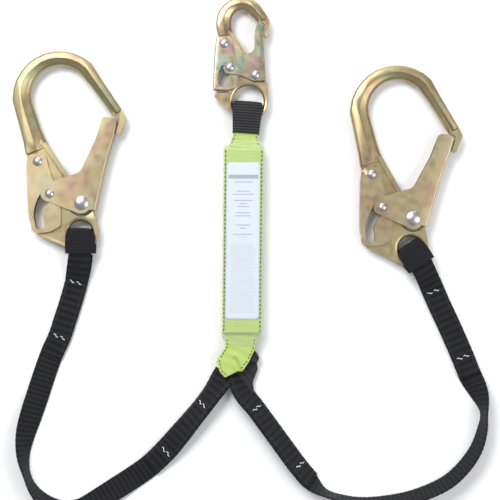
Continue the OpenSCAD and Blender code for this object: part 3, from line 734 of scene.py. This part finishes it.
STITCH_PITCH = 4.7
STITCH_L = 2.8
STITCH_R = 0.62
STITCH_IN = 1.7         # from the pack's edge to its stitches
STITCH_TOP = 0.1        # rise of a stitch's middle over the webbing
STITCH_SINK = 0.4       # how deep its ends go into the webbing
stitches = []
for edge in (-1, 1):
    for i in range(-21, 22):
        x = edge * (PACK_W / 2 - STITCH_IN) + random.uniform(-0.12, 0.12)
        y = i * STITCH_PITCH + random.uniform(-0.15, 0.15)
        half = STITCH_L / 2
        stitches.append([pack_point(x, y - half, PACK_TOP - STITCH_SINK),
                         pack_point(x, y - half * 0.6, PACK_TOP + STITCH_TOP),
                         pack_point(x + 0.1, y + half * 0.6, PACK_TOP + STITCH_TOP),
                         pack_point(x + 0.1, y + half, PACK_TOP - STITCH_SINK)])
stitching = thread_object("pack_stitches", stitches, STITCH_R, BLACK_THREAD)
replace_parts(stitching, "pack_stitching")


def grid_faces(rows, columns, around):
    """Quads between rows of points, each row closed on itself if around is true."""
    width = columns if around else columns + 1
    return [(i * width + k, i * width + (k + 1) % width,
             (i + 1) * width + (k + 1) % width, (i + 1) * width + k)
            for i in range(rows) for k in range(columns)]


def with_wall(obj, thick):
    """Gives a sheet a thickness in mm, on its inner side."""
    wall = obj.modifiers.new("wall", "SOLIDIFY")
    wall.thickness = thick * MM
    wall.offset = -1
    return obj


FILM_BELOW, FILM_ABOVE = 13, 8      # how far the film reaches past the pack's two ends
FILM_CORNER = 9                     # power of the round-cornered section
WRINKLED = 34                       # length of the more wrinkled stretch at each end


def film_wrinkle(y, c):
    """The height of a wrinkle, running across the pack and drifting along it."""
    return (0.5 * math.sin(y * 1.15 + 2.6 * c + 1.1 * math.sin(y * 0.31))
            + 0.35 * math.sin(y * 0.63 - 1.9 * c + 2.0)
            + 0.22 * math.sin(y * 2.3 + 4.1 * c))


def film_tube():
    """The film round the pack: a soft rectangular tube that necks in at both ends."""
    full_x, full_z = PACK_W / 2 + PACK_Z, (PACK_TOP + PACK_Z) / 2
    start, end = -PACK_L / 2 - FILM_BELOW, PACK_L / 2 + FILM_ABOVE
    columns, rows = 72, 300
    verts = []
    for i in range(rows + 1):
        y = start + (end - start) * i / rows
        beyond = max(0.0, abs(y) - PACK_L / 2 - (0.5 if y < 0 else 0.2))
        neck = 1 - 0.016 * beyond - 0.0012 * beyond ** 2
        flat = 1 - 0.045 * beyond
        near = max(0.0, 1 - (PACK_L / 2 - abs(y)) / WRINKLED) if beyond == 0 else 1.0
        for k in range(columns):
            a = 2 * math.pi * k / columns
            c, s = math.cos(a), math.sin(a)
            grow = (abs(c) ** FILM_CORNER + abs(s) ** FILM_CORNER) ** (-1 / FILM_CORNER)
            top = max(0.0, s)
            fold = film_wrinkle(y, c)
            x = full_x * neck * c * grow
            x += (0.25 * near + 0.04) * fold * (1 - top) * (1 if c > 0 else -1) * 0.8
            z = full_z + full_z * flat * s * grow
            z += top * (0.10 + 0.75 * near ** 2) * fold * (1 if beyond == 0 else 0.9)
            verts.append(pack_point(x, y, max(z, 0.05)) * MM)
    obj = new_object("clear_film", verts, grid_faces(rows, columns, True), FILM, ROOT)
    return with_wall(obj, 0.15)


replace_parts(film_tube(), "clear_sleeve")

LABEL_W, LABEL_L, LABEL_R = 37.5, 174, 2.0


def label_sheet():
    """A thin rounded panel on the pack, lifting a little towards its ends."""
    columns, rows = 14, 60
    verts = []
    for i in range(rows + 1):
        v = -1 + 2 * i / rows
        for k in range(columns + 1):
            u = -1 + 2 * k / columns
            y = v * LABEL_L / 2
            corner = max(0.0, abs(y) - (LABEL_L / 2 - LABEL_R))
            inset = LABEL_R - math.sqrt(max(0.0, LABEL_R * LABEL_R - corner * corner))
            x = u * (LABEL_W / 2 - inset)
            z = PACK_TOP + 0.22 + 0.10 * math.sin(y * 0.09 + 1) * (1 - u * u) + 0.12 * v ** 8
            verts.append(pack_point(x, y, z) * MM)
    obj = new_object("printed_label", verts, grid_faces(rows, columns, False), LABEL, ROOT)
    return with_wall(obj, 0.2)


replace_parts(label_sheet(), "label_panel")


# ---------- soft solids made from their CAD solids ----------

def fabric_shader(name, dark, light, angle, rib):
    """Webbing without a map of its own: ribs at an angle in the lanyard's own plane."""
    shader = Shader(name, Roughness=0.78, Sheen_Weight=0.2, Sheen_Roughness=0.5)
    (x, y, _), place = shader.object_mm()
    a = math.radians(angle)
    along = shader.math("ADD", shader.math("MULTIPLY", x, math.cos(a)),
                        shader.math("MULTIPLY", y, math.sin(a)))
    over = shader.math("ADD", shader.math("MULTIPLY", x, -math.sin(a)),
                       shader.math("MULTIPLY", y, math.cos(a)))
    ribs, yarns = shader.wave(along, rib), shader.wave(over, 1.2)
    fuzz = shader.noise(place, 2.2, 4)
    tone = shader.math("ADD", shader.math("MULTIPLY", ribs, 0.35), shader.math(
        "ADD", shader.math("MULTIPLY", yarns, 0.25), shader.math("MULTIPLY", fuzz, 0.4)))
    shader.colour(shader.ramp(tone, [(0.15, dark), (0.9, light)]))
    shader.bump(tone, 0.8, 0.0005)
    return shader.material


LIME_FOLD = fabric_shader("lime_fold", *LIME, 78, FINE_RIB)
BLACK_FOLD = fabric_shader("black_fold", *BLACK, 35, RIB)


def softened(node, name, material, voxel, rounds, relief):
    """A rounded copy of a CAD soft solid, from voxels of that size in mm smoothed that many
    times, with its points raised by relief(x, y, z)."""
    mesh = frame["nodes"][node].data.copy()
    mesh.materials.clear()
    obj = bpy.data.objects.new(name, mesh)
    bpy.context.collection.objects.link(obj)
    weld = obj.modifiers.new("weld", "WELD")
    weld.merge_threshold = 1e-5
    remesh = obj.modifiers.new("remesh", "REMESH")
    remesh.mode = "VOXEL"
    remesh.voxel_size = voxel * MM
    remesh.use_smooth_shade = True
    relax = obj.modifiers.new("relax", "SMOOTH")
    relax.factor = 0.6
    relax.iterations = rounds
    graph = bpy.context.evaluated_depsgraph_get()
    final = bpy.data.meshes.new_from_object(obj.evaluated_get(graph))
    obj.modifiers.clear()
    obj.data = final
    for v in final.vertices:
        v.co.z += relief(v.co.x / MM, v.co.y / MM, v.co.z / MM) * MM
    final.materials.append(material)
    final.polygons.foreach_set("use_smooth", [True] * len(final.polygons))
    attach(obj, ROOT)
    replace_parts(obj, node)


CREASE = (Vector((-2.8, -181)), Vector((4.4, -197)))
LOWER_FACE = 11.5       # points of the lower lime loop above this are its upper face
LOWER_TOP = 15.4        # height of that face
JOINING_FACE = 6        # the same for the leg joining loop


def lime_crease(x, y, z):
    """The loop's upper face: a deep crease where it folds, between two soft lobes."""
    if z < LOWER_FACE:
        return 0.0
    p, (a, b) = Vector((x, y)), CREASE
    t = max(0.0, min(1.0, (p - a).dot(b - a) / (b - a).length_squared))
    d = (p - a.lerp(b, t)).length
    return (0.5 - (1.2 + 1.8 * t) * math.exp(-(d / 1.5) ** 2)
            + 0.8 * math.exp(-((d - 3.6) / 2.4) ** 2)
            + 0.3 * math.sin(y * 0.55 + x * 0.25))


def joining_folds(x, y, z):
    """The leg joining loop's upper face: shallow slanting folds."""
    return 0.35 * math.sin(0.7 * x + 0.5 * y) if z > JOINING_FACE else 0.0


softened("lower_loop", "lower_lime_loop", LIME_FOLD, 0.7, 6, lime_crease)
softened("leg_joining_loop", "leg_joining_webbing", BLACK_FOLD, 0.8, 5,
         joining_folds)


# ---------- stitches along the lime loops' edges ----------

def edge_stitches(corners, z_at):
    """Dashes along an open line of corners in mm, lying on the height that z_at gives."""
    pitch, length, rise, sink = 3.9, 2.4, 0.1, 0.35
    runs, carry = [], 0.0
    for a, b in zip(corners, corners[1:]):
        a, b = Vector((*a, 0)), Vector((*b, 0))
        span, along = (b - a).length, (b - a).normalized()
        place = carry
        while place + length < span:
            p, q = a + along * place, a + along * (place + length)
            runs.append([Vector((v.x, v.y, z_at(v.x, v.y) + dz)) for v, dz in
                         ((p, -sink), (p.lerp(q, 0.25), rise), (p.lerp(q, 0.75), rise),
                          (q, -sink))])
            place += pitch
        carry = max(0.0, place - span)
    return runs


def on_lower_loop(x, y):
    """Height of the lower lime loop's upper face."""
    return LOWER_TOP + lime_crease(x, y, LOWER_TOP)


def on_upper_loop(x, y):
    """Height of the upper lime loop's upper face near its edges, the same everywhere."""
    return MID_Z + LOOP_IN + WEB_T - 0.25


lower_runs = edge_stitches([(-11.5, -160), (-11, -168), (-20, -183), (-17.5, -195),
                            (-12, -199.5)], on_lower_loop)
lower_runs += edge_stitches([(19.2, -160), (18, -169), (10.8, -184), (3.5, -193)],
                            on_lower_loop)
thread_object("lower_loop_stitches", lower_runs, 0.55, BLACK_THREAD)
upper_runs = []
for sign in (-1, 1):
    line = [eye_place("snap", (sign * x, y, 0)) for x, y in ((11.5, -38), (15.8, -51))]
    upper_runs += edge_stitches([(p.x, p.y) for p in line], on_upper_loop)
thread_object("upper_loop_stitches", upper_runs, 0.5, BLACK_THREAD)


# ---------- hooks ----------

CUT_SHARP = 34          # degrees at which a metal edge is rounded and its shading breaks


def refined(node, material, edge, fold=0.0, fold_edges=None):
    """A copy of a CAD metal node with its flat faces merged and its edges rounded:
    fold is a wider radius for the edges that fold_edges picks."""
    bm = bmesh.new()
    bm.from_mesh(frame["nodes"][node].data)
    bmesh.ops.remove_doubles(bm, verts=bm.verts, dist=3e-6)
    bmesh.ops.dissolve_limit(bm, angle_limit=math.radians(0.4), verts=bm.verts, edges=bm.edges)
    chosen = [e for e in bm.edges if fold and fold_edges(e)]
    if chosen:
        bmesh.ops.bevel(bm, geom=chosen, offset=fold * MM, segments=5, profile=0.5,
                        affect="EDGES", clamp_overlap=True)
    mesh = bpy.data.meshes.new(node + "_refined")
    bm.to_mesh(mesh)
    bm.free()
    obj = bpy.data.objects.new(node + "_refined", mesh)
    bpy.context.collection.objects.link(obj)
    mesh.materials.append(material)
    mesh.polygons.foreach_set("use_smooth", [True] * len(mesh.polygons))
    mesh.set_sharp_from_angle(angle=math.radians(CUT_SHARP))
    if edge:
        bevel = obj.modifiers.new("edges", "BEVEL")
        bevel.width = edge * MM
        bevel.segments = 3
        bevel.limit_method = "ANGLE"
        bevel.angle_limit = math.radians(CUT_SHARP)
        bevel.use_clamp_overlap = True
    body = next(b for b, nodes in frame["record"]["behaviour"]["bodies"].items() if node in nodes)
    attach(obj, body)
    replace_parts(obj, node)


def channel_edges(outer):
    """Picks the edges where a folded channel's web meets its cheeks, outer from MID_Z."""
    slack, upright, sharpest = 0.05, 0.1, 1.2

    def pick(e):
        if len(e.link_faces) != 2:
            return False
        z = [abs(v.co.z / MM - MID_Z) for v in e.verts]
        if min(z) < outer - slack or max(z) > outer + slack:
            return False
        walls = [f for f in e.link_faces if abs(f.normal.z) < upright]
        if len(walls) != 1:
            return False
        heights = [v.co.z / MM for v in walls[0].verts]
        spans_channel = max(heights) - min(heights) > 2 * outer - 1
        return spans_channel and e.calc_face_angle(0) > sharpest and e.is_convex
    return pick


GATE_OUT = 8.6          # half width of a gate over its cheeks
LEVER_OUT = 6.3         # half width of a lock lever over its cheeks
LEVER_FOLD = 1.9        # widest bend of a lever's sheet
BODY_EDGE, SHEET_EDGE, RIVET_EDGE = 0.45, 0.35, 0.15

for hook, kind, plate, sheet, fold in (
        ("snap", "snap", SNAP_PLATE, SNAP_SHEET, 1.8),
        ("left", "scaffold", FORM_PLATE, FORM_SHEET, 2.8),
        ("right", "scaffold", FORM_PLATE, FORM_SHEET, 2.8)):
    refined(f"{hook}_hook_body", plate, BODY_EDGE)
    refined(f"{hook}_gate", sheet, SHEET_EDGE, fold,
            channel_edges(GATE_OUT))
    refined(f"{hook}_lock_lever", sheet, SHEET_EDGE,
            min(fold, LEVER_FOLD), channel_edges(LEVER_OUT))
    for part in ("gate_rivet", "lever_rivet", "lock_pin"):
        refined(f"{hook}_{part}", RIVET, RIVET_EDGE)
    for part in ("gate_spring", "lever_spring"):
        refined(f"{hook}_{part}", SPRING, 0)


# ---------- floor and light ----------

FLOOR_HALF = 4          # metres
floor_mesh = bpy.data.meshes.new("floor")
floor_mesh.from_pydata([(-FLOOR_HALF, -FLOOR_HALF, 0), (FLOOR_HALF, -FLOOR_HALF, 0),
                        (FLOOR_HALF, FLOOR_HALF, 0), (-FLOOR_HALF, FLOOR_HALF, 0)],
                       [], [(0, 1, 2, 3)])
floor = bpy.data.objects.new("floor", floor_mesh)
bpy.context.collection.objects.link(floor)
floor_mesh.materials.append(Shader("floor_paper", Base_Color=(0.93, 0.93, 0.93, 1),
                                   Roughness=0.9, Specular_IOR_Level=0.2).material)

world = bpy.data.worlds.new("studio")
world.use_nodes = True
background = world.node_tree.nodes["Background"]
background.inputs["Color"].default_value = (0.97, 0.98, 1.0, 1)
background.inputs["Strength"].default_value = 0.42
bpy.context.scene.world = world
bpy.context.scene.view_settings.view_transform = "Standard"


def soft_light(name, place, size, power, tint=(1, 1, 1)):
    """A rectangular lamp in metres and watts that looks at the origin."""
    data = bpy.data.lights.new(name, "AREA")
    data.shape = "RECTANGLE"
    data.size, data.size_y = size
    data.energy = power
    data.color = tint
    lamp = bpy.data.objects.new(name, data)
    lamp.location = place
    lamp.rotation_euler = (-Vector(place)).to_track_quat("-Z", "Y").to_euler()
    bpy.context.collection.objects.link(lamp)


soft_light("key", (-0.7, 0.9, 1.7), (1.2, 0.8), 34)
soft_light("fill", (1.2, -0.3, 1.4), (1.0, 1.0), 13, (0.95, 0.97, 1.0))
soft_light("back", (0.1, 1.6, 0.8), (1.6, 0.4), 8)
